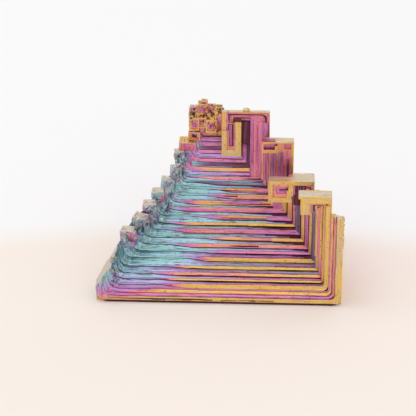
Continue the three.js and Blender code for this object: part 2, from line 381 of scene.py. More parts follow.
# film on the risers: gold at the rim, pinker towards the apex; on the upright arms it changes
# from one to the next
riser_film = np.array([0.22, 0.48, 0.24, 0.24, 0.25, 0.36, 0.26, 0.24, 0.54, 0.42, 0.36, 0.50,
                       0.28, 0.48, 0.44, 0.36, 0.42, 0.48, 1.16, 0.46, 0.62, 0.32, 1.16, 0.47,
                       0.66, 0.50, 1.14, 0.46, 0.60])
tread_film = np.interp(np.arange(TERRACES), [0, 5, 9, 18, 28], [0.56, 0.66, 0.78, 0.80, 0.66]) \
    + dice.uniform(-0.06, 0.06, TERRACES)
tread_lead = np.interp(np.arange(TERRACES), [0, 6, 12, 18, 28], [-8, -2, 9, 8, -4]) \
    + dice.uniform(-3, 3, TERRACES)
arm_film = dice.uniform(0.2, 0.6, TERRACES)
arm_film[:14] = (0.2, 0.46, 0.36, 0.24, 0.62, 0.48, 0.24, 1.12, 0.26, 0.5, 0.28, 1.1, 0.46,
                 0.34)
arm_film[APEX_FROM:] = np.where(np.arange(APEX_FROM, TERRACES) % 2, 0.5, 1.2)
arm_film[APEX_FROM:APEX_FROM + 3] = 0.5, 0.45, 0.56
for k in range(TERRACES):
    rise, face = rises[k], fronts[k]
    rear = (fronts[k + 1] if k + 1 < TERRACES else face + 1.0) - face + OVERLAP
    step = rises[k + 1] - rise if k + 1 < TERRACES else 0.6
    pitch = rise - rises[k - 1] if k else rise
    left = keyed(LEFT_KEYS, rise) - HALF_WIDTH
    right = HALF_WIDTH - rise + dice.uniform(-0.05, 0.05)
    outer, top, level = next(wall[1:] for wall in WALL_KEYS if rise < wall[0])
    top -= ARM_DROP * max(face - level, 0)
    ridge = max(float(keyed(RIDGE_KEYS, face)), rise + 0.3)
    lean = END_LEAN * (ridge - rise)
    round_off = min(END_RADIUS, 0.35 * (ridge - rise))
    corners = [(left - lean, ridge + 0.4), (left - 0.25 * round_off, rise + round_off),
               (left + 0.35 * round_off, rise + 0.3 * round_off), (left + 1.3 * round_off, rise),
               (right, rise), (right, top - 0.04 * k)]
    legs = [3, 4]  # the numbers of the bottom leg and of the right arm
    if k < ROUNDED:
        radius = CORNER_RADIUS - CORNER_SHRINK * k
        corners[4:5] = [(right - radius, rise), (right - 0.3 * radius, rise + 0.3 * radius),
                        (right, rise + radius)]
        legs = [3, 3, 3, 4]
    fade_x = merge_from[k + 1] if k + 1 < TERRACES else NOWHERE

    def climb(places, fade_x=fade_x, step=step):
        """A tread climbs a little to its rear. On the left it climbs almost to the next lip, so
        that the risers fade out there."""
        ease = np.clip((fade_x - places[:, 0]) / MERGE_WIDTH, 0, 1)
        return step * (CLIMB + MERGED_CLIMB * ease * ease * (3 - 2 * ease))

    slot = SLOT if k else 0.0
    upright = min(pitch - 0.1, outer - right) if k else outer - right
    arm_root = min(BURIED, outer - right - upright)
    if k < ROUNDED:
        upright = min(upright, pitch - slot) if k else upright
    by_leg = {3: (pitch - slot, riser_film[k], slot + BURIED if k else 0.0, slot),
              4: (upright, arm_film[k], arm_root, 0.1 * (k > 0))}
    thick, film, root, gap = zip(*([(pitch + 0.3, riser_film[k], 0.0, 0.0)] * 3
                                   + [by_leg[leg] for leg in legs]))
    riser_lead = merge_from[k] + 1.0 if k < APEX_FROM else APEX_LEAD
    square_frame(corners, thick, face, rear, [*film, tread_film[k]], roots=root, slots=gap,
                 climb=climb, lead=(riser_lead, tread_lead[k]),
                 worn=TERRACE_WORN if k else RIM_WORN, painted_shadow=k in SHADOWED_TERRACES,
                 slope=FACE_SLOPE)

# plates that overgrew the middle of a terrace: terrace, left and right end, film. The first one
# stops at a jog; it is thicker and taller than the others
PLATE_TERRACE, PLATE_ENDS = 6, (-5.5, 8.9)
PLATES = ((10, -2.5, 9.5, 0.44), (13, -1.0, 8.5, 0.36), (15, -0.5, 7.5, 0.47),
          (17, -0.5, 6.6, 0.38))
PLATE_UNDER, PLATE_OVER, PLATE_BULGE = 0.55, 0.15, 0.28
# dark seams, painted shade of fine grooves: one long and SHORT_SEAMS short ones on the rim's face,
# and one on some risers
RIM_SEAM = ((-21.8, -2.0), (0.7, 0.92))
SHORT_SEAMS = 16
SEAMED = (6, 9, 12, 13, 15, 16, 17, 19)
SECTION_STATIONS, SECTION_POINTS = 13, 8


def overgrown(x, z, front, bulge, film):
    """A thin plate on a riser: a half-lens section, bulge thick in its middle, between two ends
    in x and two heights, which narrow towards the left end by a quarter sine."""
    stations = np.linspace(0, 1, SECTION_STATIONS)
    reach = np.sin(np.minimum(stations * 2.2, 1) * np.pi / 2)
    middle, half = (z[0] + z[1]) / 2, (z[1] - z[0]) / 2 * reach
    turn = np.linspace(0, 2 * np.pi, SECTION_POINTS, endpoint=False)
    along = x[0] + (x[1] - x[0]) * stations
    rows = np.stack([np.repeat(along[:, None], SECTION_POINTS, axis=1),
                     front - bulge * np.cos(turn)[None, :] * reach[:, None] + 0.05,
                     middle + half[:, None] * np.sin(turn)[None, :]], axis=2)
    rows[0] = rows[0] * 0.2 + rows[0].mean(axis=0) * 0.8
    keep_solid(*tube(rows), film, worn=0.15, grain=0.0)


overgrown(PLATE_ENDS, (rises[PLATE_TERRACE] - 0.62, rises[PLATE_TERRACE] + 0.12),
          fronts[PLATE_TERRACE], 0.3, 0.24)
for k, start, end, film in PLATES:
    overgrown((start, end), (rises[k] - PLATE_UNDER, rises[k] + PLATE_OVER), fronts[k],
              PLATE_BULGE, film)
# dark maroon seams: painted shade of fine grooves on the rim and the risers
overgrown(*RIM_SEAM, 0.04, 0.08, CREVICE_SHADE)
for _ in range(SHORT_SEAMS):
    start, height = dice.uniform(-14, 16), dice.uniform(0.55, 0.9)
    overgrown((start, start + dice.uniform(0.8, 4.5)), (height, height + 0.1), 0.02, 0.06,
              CREVICE_SHADE)
for k in SEAMED:
    start, height = dice.uniform(-1, 4), rises[k] - dice.uniform(0.25, 0.4)
    overgrown((start, start + dice.uniform(3, 7)), (height, height + dice.uniform(0.1, 0.2)),
              fronts[k] - 0.1, 0.22, CREVICE_SHADE)

# Body: the solid metal under the terraces. Behind, square lifts stand back from each other
# like a stepped pyramid, and plain walls back the terraces of the right side.
HEART_SINK, HEART_SET_BACK = 0.4, 0.9  # the body stays this far under and behind each terrace
LIFTS = 13
LIFT_BASE, LIFT_APEX = np.array([22.5, 31.0, 1.6]), np.array([3.0, 28.6, 23.0])
CHAMFER = 0.07
RIM_WIDTH, RIM_UNDER, RIM_OVER = 0.35, 0.5, 0.12  # a lift's raised rim


def block(x, y, z, oxide=(0.3, 0.1), chamfer=CHAMFER, worn=0.2, lead=NOWHERE, grain=None):
    """A block between two corners with all edges cut by chamfer: an eight-cornered section
    carried up through four heights. oxide is the film on its sides and on its top. The streaks
    run up a tall block and across a flat one, unless grain says otherwise."""
    if grain is None:
        grain = float(z[1] - z[0] > x[1] - x[0])
    heights = np.array([z[0], z[0] + chamfer, z[1] - chamfer, z[1]])
    inset = np.array([chamfer, 0, 0, chamfer])
    x0, x1 = x[0] + inset, x[1] - inset
    y0, y1 = y[0] + inset, y[1] - inset
    c = chamfer * np.ones(4)
    ring = np.stack([np.stack([x0 + c, y0], 1), np.stack([x1 - c, y0], 1),
                     np.stack([x1, y0 + c], 1), np.stack([x1, y1 - c], 1),
                     np.stack([x1 - c, y1], 1), np.stack([x0 + c, y1], 1),
                     np.stack([x0, y1 - c], 1), np.stack([x0, y0 + c], 1)], axis=1)
    rows = np.concatenate([ring, np.repeat(heights[:, None, None], 8, axis=1)], axis=2)
    keep_solid(*tube(rows), oxide, lead, worn, grain)


for k in range(TERRACES):
    rise, face = rises[k], fronts[k] + HEART_SET_BACK
    rear_floor = LIFT_BASE[1] + (LIFT_APEX[1] - LIFT_BASE[1]) * rise / LIFT_APEX[2] - 1.5
    left = keyed(LEFT_KEYS, rise) - HALF_WIDTH
    block((-HALF_WIDTH, HALF_WIDTH - rise), (face, rear_floor), (0, rise - HEART_SINK),
          (0.45, 0.6), lead=0.0, grain=0.0)
    block((-HALF_WIDTH, left - 0.5), (face, LIFT_APEX[1] - 0.4), (0, keyed(RIDGE_KEYS, face)),
          (0.8, 0.12), worn=0.3)
for i in range(LIFTS):
    right, rear, top = LIFT_BASE + (LIFT_APEX - LIFT_BASE) * i / (LIFTS - 1)
    ahead = keyed(np.stack([rises, fronts], 1), top) + 2.2
    tint = 0.25 + 0.5 * abs(math.sin(1.3 * i))
    block((-HALF_WIDTH, right), (ahead, rear), (0, top), (tint, tint + 0.15), grain=0.0)
    # the raised rim of each lift: the same skeletal edge as on the terraces
    if i < LIFTS - 2:
        rim = (top - RIM_UNDER, top + RIM_OVER)
        block((-HALF_WIDTH, right), (rear - RIM_WIDTH, rear), rim, (tint, 0.2))
        block((right - RIM_WIDTH, right), (ahead, rear), rim, (tint, 0.2))

# Right wall: the upright arms of the terraces stand in groups, each stepped in from the last.
# Each group's outer skin is a wall that goes down in steps to the back.
WALLS = (  # outer x, height, front, arm depth, rear, film
    (22.5, 16.4, 0.0, 2.0, 11.0, 0.2), (20.35, 19.7, 2.0, 3.0, 15.5, 0.3),
    (17.3, 19.2, 11.0, 2.4, 20.0, 0.4), (13.4, 24.3, 17.5, 2.2, 25.0, 0.52),
    (8.8, 28.4, 21.5, 1.0, 28.3, 0.5))
WALL_STEPS, WALL_DROP = 4, 1.6
WALL_THICK, INNER_THICK = 1.5, 3.7  # of the three front groups and of the two inner ones
for outer, height, front, arm, rear, tint in WALLS:
    for j in range(WALL_STEPS):
        end = front + arm + (rear - front - arm) * (j + 1) / WALL_STEPS
        inner_x = outer - (INNER_THICK if front > 15 else WALL_THICK)
        block((inner_x, outer - 0.12 * j), (front + 0.9, end), (0, height - j * WALL_DROP),
              (tint + 0.05 * j, 0.15 + 0.1 * j), grain=1.0)
for k in range(1, TERRACES):
    rise, face = rises[k], fronts[k] + HEART_SET_BACK
    group = next(i for i, wall in enumerate(WALL_KEYS) if rise < wall[0])
    outer, height, front, arm, rear, _ = WALLS[group]
    for j in range(WALL_STEPS):
        end = front + arm + (rear - front - arm) * (j + 1) / WALL_STEPS
        if end > face + 0.3:
            block((min(HALF_WIDTH - rise + 0.45, outer - 0.6), outer - 0.2), (face, end),
                  (0, height - j * WALL_DROP - 0.1), (0.5, 0.3))

# Hooks: where an arm of the right wall grew on past the corner, it turns over the recess and
# down again, a square spiral of bright metal with a flat cream top.
CREAM = 0.07  # film on the hooks' flat tops
HOOK_WORN, BAND_WORN = 0.36, 0.1  # the outermost arch of a hook, and the ones inside it
HOLLOW_SHADE = (1.22, 1.2)  # painted shade: dark maroon film on the backs of the hooks' hollows


def spiral(outer, top, front, depth, column, bar, tab, tab_x, low_z, tab_z, films,
           step, sink, radius=0.0):
    """Nested square arches, each smaller by step and further back by sink: a column up, a bar
    to the left and a tab down. Only the first has the full thickness of each leg, and films
    gives the film on each arch. The others turn at the top right in a corner of radius."""
    for t, film in enumerate(films):
        s, d = t * step, t * sink
        corners = [(outer - column - s, low_z), (outer - column - s, top - bar - s),
                   (tab_x + s, top - bar - s), (tab_x + s, tab_z + 0.4 * s)]
        thick = [step + 0.1] * 3 if t else [column, bar, tab]
        if t and radius:
            right, high = corners[1]
            corners[1:2] = [(right, high - radius), (right - 0.3 * radius, high - 0.3 * radius),
                            (right - radius, high)]
            thick = [step + 0.1] * 5
        square_frame(corners, thick, front + d, max(depth - d, 0.9),
                     [film] * len(thick) + [film + 0.25],
                     rough=0.02, lip=0.04, worn=BAND_WORN if t else HOOK_WORN)


# the first hook, then the second with its dark hollow and the small bars in it
spiral(outer=20.35, top=20.9, front=2.0, depth=3.0, column=0.75, bar=1.2, tab=1.8, tab_x=16.5,
       low_z=8.0, tab_z=17.5, films=(0.23, 0.46, 1.15, 0.28, 0.5, 0.3), step=0.4, sink=0.5)
block((14.3, 20.3), (2.0, 4.9), (20.5, 21.1), (0.21, CREAM), worn=0.35)
spiral(outer=17.3, top=19.85, front=11.0, depth=3.6, column=0.3, bar=0.6, tab=0.9, tab_x=13.4,
       low_z=10.0, tab_z=17.0, films=(0.26, 0.46, 1.2), step=0.34, sink=0.5, radius=0.5)
block((8.8, 13.4), (11.0, 13.0), (19.6, 20.1), (0.23, CREAM), worn=0.35)
block((13.2, 17.25), (11.0, 14.7), (19.6, 20.1), (0.23, CREAM), worn=0.35)
# painted shade: a dark maroon sheet at the back of the second hook's hollow
block((13.5, 17.1), (12.5, 13.2), (14.5, 19.7), HOLLOW_SHADE, worn=0.0)
for left in (14.3, 14.7, 15.2, 15.5, 16.0, 16.4):
    block((left, left + 0.14), (12.35, 12.6), (17.3 + dice.uniform(0, 0.9), 19.6), (0.52, 0.5),
          0.04, worn=0.0)
# the apex hook, with upright bars in its hollow
spiral(outer=8.8, top=29.35, front=21.5, depth=0.9, column=0.22, bar=0.17, tab=0.8, tab_x=0.65,
       low_z=19.0, tab_z=25.0, films=(0.3, 0.48, 1.2, 0.5, 0.44, 1.2, 0.46, 0.52, 1.2, 1.2),
       step=0.31, sink=0.22, radius=0.8)
for left in (5.45, 6.2, 6.95, 7.6):
    block((left, left + 0.3), (22.0 + dice.uniform(0, 0.25), 22.6),
          (18.0 + left * 0.1, 26.0 + dice.uniform(0, 1.6)), (dice.uniform(0.42, 0.56), 0.3), 0.05,
          grain=1.0)
block((-0.2, 8.78), (21.5, 22.45), (29.22, 29.42), (0.3, CREAM), worn=0.3)

# the plate that hangs from the second hook, a square spiral sunk step by step into its face
block((8.75, 13.2), (12.3, 13.0), (15.7, 19.9), (0.5, 0.2))
for margin, sunk, film in ((0.0, 0.0, 0.24), (0.7, 0.35, 0.4), (1.2, 0.7, 0.5)):
    corners = [(13.05 - margin, 19.3 - margin), (9.6 + margin, 19.3 - margin),
               (9.6 + margin, 16.5 + margin), (12.2, 16.5 + margin),
               (12.2, 18.1 - 0.3 * margin)]
    square_frame(corners, [0.8] * 4, 11.0 + sunk, 1.7, [film] * 4 + [film + 0.2],
                 rough=0.02, lip=0.03, worn=BAND_WORN if sunk else HOOK_WORN)

# the fluted block of the third hook: a cap with a square slot and a notch, under it a row of
# thin upright bars, and at its right a dark patch that narrows upwards
FLUTE_PITCH, FLUTE_WIDTH, FLUTE_FILMS = 0.46, 0.3, (0.37, 0.6, 0.48)
block((7.4, 13.4), (18.5, 21.0), (17.0, 24.3), (0.5, 0.3), grain=1.0)
square_frame([(9.9, 24.6), (7.7, 24.6), (7.7, 23.3), (9.9, 23.3), (9.9, 24.3)],
             [0.5, 0.35, 0.5, 0.6], 17.5, 1.6, [0.25, 0.3, 0.33, 0.36, 0.5], rough=0.02)
for place in (((9.9, 13.4), (17.5, 19.7), (24.6, 25.1), (0.3, CREAM)),
              ((7.4, 10.4), (18.0, 19.7), (24.4, 25.1), (0.45, CREAM)),
              ((10.3, 11.6), (17.6, 19.0), (22.9, 24.7), (0.42, 0.2)),
              ((12.9, 13.4), (17.5, 19.7), (17.0, 24.8), (0.24, CREAM)),
              ((11.4, 13.2), (17.6, 19.7), (17.0, 23.5), (0.46, 0.2))):
    block(*place)
for i, flute in enumerate(np.arange(7.4, 11.5, FLUTE_PITCH)):
    block((flute, flute + FLUTE_WIDTH), (18.0 + dice.uniform(0, 0.3), 19.4), (17.0, 22.8),
          (FLUTE_FILMS[i % len(FLUTE_FILMS)], 0.3), 0.04, grain=1.0)
block((6.6, 7.3), (18.4, 20.0), (17.0, 22.5), (0.34, 0.15), grain=1.0)
block((11.9, 12.8), (17.52, 18.0), (17.2, 20.9), (1.14, 1.1), 0.3, worn=0.0)
block((12.15, 12.6), (17.5, 18.0), (20.4, 21.8), (1.14, 1.1), 0.18, worn=0.0)

# the plate of the apex hook: a narrow upright cup with one short and one tall side, what ties
# it to the hook, the metal behind it and the bead on top
square_frame([(0.8, 25.6), (0.8, 21.6), (2.35, 21.6), (2.35, 27.4)], [1.0, 1.1, 1.1],
             21.1, 1.0, [0.22, 0.2, 0.24, 0.45], rough=0.02, lip=0.03, worn=0.4)
square_frame([(1.1, 25.6), (1.1, 22.3), (2.05, 22.3), (2.05, 27.2)], [0.5, 0.8, 0.5],
             21.45, 0.8, [0.45, 0.36, 0.5, 0.55], rough=0.02, lip=0.03)
# its dark maroon sides, at the back of the cup's hollow, are painted shade
block((0.2, 2.9), (21.75, 22.3), (20.8, 26.9), (1.15, 0.3), grain=1.0)
block((1.4, 1.66), (21.5, 21.9), (22.5, 26.6), (0.5, 0.3), 0.05, grain=1.0)
for place in (((-0.2, 0.7), (21.3, 22.5), (24.6, 26.2), (0.4, 0.2)),
              ((-0.2, 1.2), (21.9, 26.0), (24.8, 27.4), (0.5, 0.3)),
              ((-0.2, 8.6), (26.2, 28.0), (0, 26.4), (0.5, 0.3))):
    block(*place)
# painted shade: a dark maroon sheet at the back of the apex hook's hollow
block((0.5, 5.2), (23.4, 24.2), (22.0, 28.3), HOLLOW_SHADE, worn=0.0)
block((3.7, 5.0), (21.6, 22.6), (29.3, 29.9), (0.25, 0.1), 0.2)

# Left ridge and apex cluster: small cubes grown over each other, each face sunk in square
# steps like a tiny hopper of its own, a little turned and leaning.
BIG_STEPS, SMALL_STEPS = (0.7, 0.4), (0.55,)  # where the square steps of a face stand
STEP_BEVEL = 0.03  # half the width of a step's slope, as a part of half the face
EDGE_CUT, RIM_CUT = 0.985, 0.965  # the cut on a cube's edges, and on the rim next to them


def hopper_cube(left, face, top, edge, oxide, tall=None, turned=0.0, tilt=0.0, sunk=0.16,
                worn=0.2, steps=BIG_STEPS, pits=None):
    """A cube whose six faces are sunk in square steps. A point a, b of a face, both from -1 to
    1, is sunk once for each step that the larger of |a| and |b| is inside of, and its edges are
    cut back a little. pits is the film on the first and the second step."""
    marks = np.array([t + d for t in steps for d in (-STEP_BEVEL, STEP_BEVEL)]
                     + [0.93] * (steps == BIG_STEPS))
    marks = np.sort(np.concatenate([[-1, 1], marks, -marks]))
    n = marks.size
    a, b = [g.ravel() for g in np.meshgrid(marks, marks, indexing="ij")]
    m = np.maximum(np.abs(a), np.abs(b))
    depth = sum(m < step for step in steps)
    out = (1 - sunk * depth) * np.where(m > 0.99, RIM_CUT, 1.0)
    sides = []
    for axis in range(3):
        for sign in (-1, 1):
            p = np.zeros((n * n, 3))
            p[:, axis], p[:, (axis + 1) % 3], p[:, (axis + 2) % 3] = sign * out, a, b
            sides.append(p)
    points = np.concatenate(sides)
    i, j = [g.ravel() for g in np.meshgrid(np.arange(n - 1), np.arange(n - 1), indexing="ij")]
    quad = np.stack([i * n + j, (i + 1) * n + j, (i + 1) * n + j + 1, i * n + j + 1], axis=1)
    quads = np.concatenate([(quad if s % 2 else quad[:, ::-1]) + s * n * n for s in range(6)])
    inside = np.tile(depth, 6)[quads].mean(axis=1)
    # the rims of neighbouring faces meet on the cube's cut edges
    outside = np.abs(points) > 0.96
    on_edge = np.sum(outside, axis=1) >= 2
    points[on_edge] = np.where(outside[on_edge], np.sign(points[on_edge]) * EDGE_CUT,
                               points[on_edge])
    keys, index = np.unique(np.round(points, 5), axis=0, return_inverse=True)
    quads = index.ravel()[quads]
    size = np.array([edge, edge, tall or edge]) / 2
    points = keys * size
    ct, st, cl, sl = math.cos(turned), math.sin(turned), math.cos(tilt), math.sin(tilt)
    points = points @ np.array([[cl, 0, sl], [0, 1, 0], [-sl, 0, cl]]).T
    points = points @ np.array([[ct, -st, 0], [st, ct, 0], [0, 0, 1]]).T
    upward = np.repeat([False, False, False, False, False, True], len(quad))
    film = np.where(upward, oxide[1], oxide[0])
    if pits:
        film = np.select([inside > 1.2, inside > 0.6], pits[::-1], film)
    keep_solid(points + [left + size[0], face + size[1], top - size[2]], quads.tolist(), film,
               worn=worn)


# left, front, top and edge of each large cube on the ridge; small ones grow all over it
RIDGE_CUBES = ((-18.3, 7.2, 11.0, 2.6), (-16.4, 10.2, 12.3, 2.7), (-14.7, 13.2, 13.7, 2.6),
               (-13.1, 15.7, 15.2, 2.4), (-11.5, 17.7, 16.8, 2.2), (-9.9, 19.4, 18.5, 2.0),
               (-9.2, 21.3, 21.1, 1.9))
SMALL_ON_EACH, SMALL_AT_END, SMALL_ALONG, SMALL_IN_CLUSTER = 13, 26, 60, 90
first_cube = len(solids)
for left, face, top, edge in RIDGE_CUBES:
    hopper_cube(left, face, top, edge, (dice.uniform(0.7, 0.9), 0.0), tall=edge * 1.3,
                turned=dice.uniform(-0.25, 0.25), tilt=dice.uniform(-0.1, 0.15), sunk=0.07,
                worn=0.38)
    for _ in range(SMALL_ON_EACH):
        small = edge * dice.uniform(0.2, 0.48)
        hopper_cube(left + dice.uniform(-0.1, edge * 0.75), face + dice.uniform(-0.7, 0.9),
                    top - dice.uniform(-0.1, 0.9) * dice.uniform(0, 3.4), small,
                    (dice.uniform(0.5, 0.95), 0.0), turned=dice.uniform(-0.7, 0.7),
                    tilt=dice.uniform(-0.4, 0.4), sunk=0.12, worn=0.4, steps=SMALL_STEPS)
# the rough end at the front left, where the lowest terraces run into the ridge
for _ in range(SMALL_AT_END):
    edge = dice.uniform(0.25, 0.6)
    hopper_cube(dice.uniform(-20.9, -18.6), dice.uniform(0.2, 1.4), dice.uniform(1.4, 4.6), edge,
                (dice.uniform(0.62, 0.85), 0.6), tall=edge * dice.uniform(1, 2.4),
                turned=dice.uniform(-0.8, 0.8), tilt=dice.uniform(-0.5, 0.5), sunk=0.1,
                worn=0.2, steps=SMALL_STEPS)
# small cubes all along the inner side of the ridge
for along in np.linspace(0, 1, SMALL_ALONG):
    face = 1.0 + 20 * along
    edge = dice.uniform(0.3, 0.7)
    hopper_cube(-21.0 + 12.2 * along ** 1.1 + dice.uniform(0.0, 1.9), face,
                keyed(RIDGE_KEYS, face) - dice.uniform(-0.3, 2.2), edge,
                (dice.uniform(0.6, 0.95), 0.2), tall=edge * dice.uniform(1, 2.2),
                turned=dice.uniform(-0.7, 0.7), tilt=dice.uniform(-0.4, 0.4), sunk=0.1,
                worn=0.25, steps=SMALL_STEPS)
# two cubes between the ridge and the cluster
hopper_cube(-8.4, 22.6, 22.4, 3.3, (0.46, 0.15), tall=1.5, worn=0.32)
hopper_cube(-7.6, 23.2, 21.3, 1.6, (0.66, 0.3), tall=4.5)

# left, front, top, edge and height of each large cube in the cluster, and the metal behind
CLUSTER_CUBES = ((-6.6, 23.9, 24.1, 2.3, 1.7), (-6.6, 24.0, 27.0, 1.9, 2.7),
                 (-5.2, 24.3, 26.9, 1.9, 2.2), (-6.5, 24.5, 28.8, 1.8, 2.2),
                 (-4.9, 24.9, 29.5, 1.9, 2.2), (-4.3, 25.2, 30.0, 1.2, 1.2),
                 (-3.4, 24.9, 28.9, 1.9, 2.0), (-2.2, 25.1, 28.4, 1.8, 2.2),
                 (-3.4, 23.9, 26.7, 2.1, 2.7), (-1.6, 24.2, 29.2, 1.4, 4.8))
for left, face, top, edge, tall in CLUSTER_CUBES:
    hopper_cube(left, face, top, edge, (dice.uniform(0.2, 0.34), 0.15), tall=tall,
                turned=dice.uniform(-0.12, 0.12), tilt=dice.uniform(-0.08, 0.08), sunk=0.22,
                worn=0.36, pits=(0.47, dice.choice([0.52, 1.2])))
for _ in range(SMALL_IN_CLUSTER):
    hopper_cube(dice.uniform(-6.6, -0.9), dice.uniform(23.7, 24.9), dice.uniform(24.0, 29.4),
                dice.uniform(0.35, 0.95), (dice.choice([0.16, 0.22, 0.24, 0.28, 0.46, 0.5]), 0.04),
                turned=dice.uniform(-0.8, 0.8), tilt=dice.uniform(-0.4, 0.4), sunk=0.2,
                worn=0.38, steps=SMALL_STEPS, pits=(dice.choice([0.3, 0.44, 0.5, 1.2]), 0.5))
block((-6.2, 0.4), (26.2, 28.0), (0, 25.2), (0.4, 0.3))
block((-5.8, -0.3), (25.4, 27.6), (23.4, 27.6), (0.3, 0.2))

# beads of metal on the rim's right edge
BEAD_PITCH = 0.5
for top in np.arange(12.2, 17.9, BEAD_PITCH):
    hopper_cube(22.0 + dice.uniform(-0.1, 0.05), dice.uniform(-0.05, 0.3), top,
                dice.uniform(0.5, 0.75), (0.2, 0.05), turned=dice.uniform(-0.6, 0.6),
                tilt=dice.uniform(-0.4, 0.4), worn=0.4, steps=SMALL_STEPS)

# Grown together: all the solids are joined into one closed skin. The left side is cut along
# the crust that the crystal was broken off from, before the cubes are added, and the foot is flat.
TURN_WIDTH = 9.0  # the film turns to teal over this many mm
TEAL_KEYS = np.array([[0, 0.27], [0.8, 0.36], [1.4, 0.52], [2.6, 0.62], [3.6, 0.74], [4.8, 0.88],
                      [14, 0.9], [19, 0.66]])
CRUST_POINT = np.array([-HALF_WIDTH, 0, 4.7])
CRUST_NORMAL = np.array([-0.883, 0.232, 0.409])
SLIVER_POINT = np.array([-HALF_WIDTH + 1.1, 0, 4.4])  # a second flat, along the crust's front
SLIVER_NORMAL = np.array([-0.66, -0.22, 0.72])
UPPER_POINT = np.array([-18.0, 8.0, 10.6])  # and a third under the ridge's cubes
UPPER_NORMAL = np.array([-0.84, 0.38, 0.39])
CRUST_REACH, CRUST_LINES, CRUST_DEEP = 38, 96, 40  # half the block's width, grid, thickness
CRUST_SWELL = 0.18
CRUST_FILM, CRUST_WORN = 0.08, 0.66
FOOT_GAP = (0.25, 0.5)  # the front rim's foot is set back, depth and height; its set-back face is dark maroon, a painted contact shadow
LIMIT_BACK, LIMIT_TOP = 31.0, 30.6  # nothing stands out past this back and this top
BEAD_OVER = 0.2  # the beads stand out past the rim at the right by this much


def joined(first, second, how="UNION"):
    """One mesh object from two: their union, or the first less or within the second."""
    cut = first.modifiers.new(how, "BOOLEAN")
    cut.operation, cut.solver, cut.object = how, "MANIFOLD", second
    result = bpy.data.meshes.new_from_object(
        first.evaluated_get(bpy.context.evaluated_depsgraph_get()))
    first.modifiers.clear()
    old = first.data
    first.data = result
    bpy.data.meshes.remove(old)
    bpy.data.meshes.remove(second.data)
    return first


def grown_solid(points, faces, film):
    """A mesh object of one solid, with its film as face attributes."""
    solid = mesh_object("grown", to_frame(points), faces)
    for key, values in film.items():
        solid.data.attributes.new(key, "FLOAT", "FACE").data.foreach_set(
            "value", np.asarray(values, np.float32))
    return solid


def grown_together(group):
    """The union of a group of solids, taken in pairs, then pairs of pairs."""
    growing = [grown_solid(*solid) for solid in group]
    while len(growing) > 1:
        growing = [joined(*growing[i:i + 2]) if i + 1 < len(growing) else growing[i]
                   for i in range(0, len(growing), 2)]
    return growing[0]


terraced, cubes = grown_together(solids[:first_cube]), grown_together(solids[first_cube:])


def crust_block(point, normal):
    """A thick block outside a crust plane. Its near face swells by three crossing sine waves and
    a little chance, as metal does that froze against the crust of the melt."""
    reach = np.linspace(-CRUST_REACH, CRUST_REACH, CRUST_LINES)
    u, v = np.meshgrid(reach, reach, indexing="ij")
    swell = (np.sin(0.9 * u + np.sin(0.5 * v)) * 0.5 + np.sin(1.7 * v + 0.4 * u) * 0.3
             + np.sin(3.1 * (u + v)) * 0.12 + dice.normal(0, 0.22, u.shape)) * CRUST_SWELL
    near = np.stack([u, v, swell], axis=2)
    far = np.stack([u[:, [-1, 0]], v[:, [-1, 0]], 0 * u[:, :2] + CRUST_DEEP], axis=2)
    normal = normal / np.linalg.norm(normal)
    side = np.cross([0, 1, 0], normal)
    side /= np.linalg.norm(side)
    rows = np.concatenate([near, far], axis=1) @ np.stack([side, np.cross(normal, side), normal])
    keep_solid(*tube(rows + point), CRUST_FILM, worn=CRUST_WORN)


for point, normal in ((CRUST_POINT, CRUST_NORMAL), (SLIVER_POINT, SLIVER_NORMAL),
                      (UPPER_POINT, UPPER_NORMAL)):
    solids.clear()
    crust_block(point, normal)
    terraced = joined(terraced, grown_solid(*solids[0]), "DIFFERENCE")
solids.clear()
# the cut's faces take the dark maroon film: painted contact shadow under the front edge
block((-30, 30), (-5, FOOT_GAP[0]), (-5, FOOT_GAP[1]), (CREVICE_SHADE, CREVICE_SHADE))
block((-HALF_WIDTH, HALF_WIDTH + BEAD_OVER), (0, LIMIT_BACK), (0, LIMIT_TOP), (0.2, 0.0), 0.03,
      worn=1.0)
terraced = joined(terraced, grown_solid(*solids[0]), "DIFFERENCE")
crystal = joined(joined(terraced, cubes), grown_solid(*solids[1]), "INTERSECT")
crystal.name = crystal.data.name = "bismuth_crystal_grown"

# closed pockets inside the metal and loose crumbs are shells of their own: each point takes the
# lowest number among the points that it is joined to, until nothing changes, and only the
# shell of the most points is kept
skin = crystal.data
ends = np.zeros(len(skin.edges) * 2, int)
skin.edges.foreach_get("vertices", ends)
edge_from, edge_to = ends.reshape(-1, 2).T
shell = np.arange(len(skin.vertices))
changed = True
while changed:
    before = shell.copy()
    np.minimum.at(shell, edge_from, shell[edge_to])
    np.minimum.at(shell, edge_to, shell[edge_from])
    shell = shell[shell]
    changed = np.any(shell != before)
main_shell = np.bincount(shell).argmax()
editing = bmesh.new()
editing.from_mesh(skin)
editing.verts.ensure_lookup_table()
bmesh.ops.delete(editing, context="VERTS",
                 geom=[editing.verts[i] for i in np.flatnonzero(shell != main_shell)])
editing.to_mesh(skin)
editing.free()

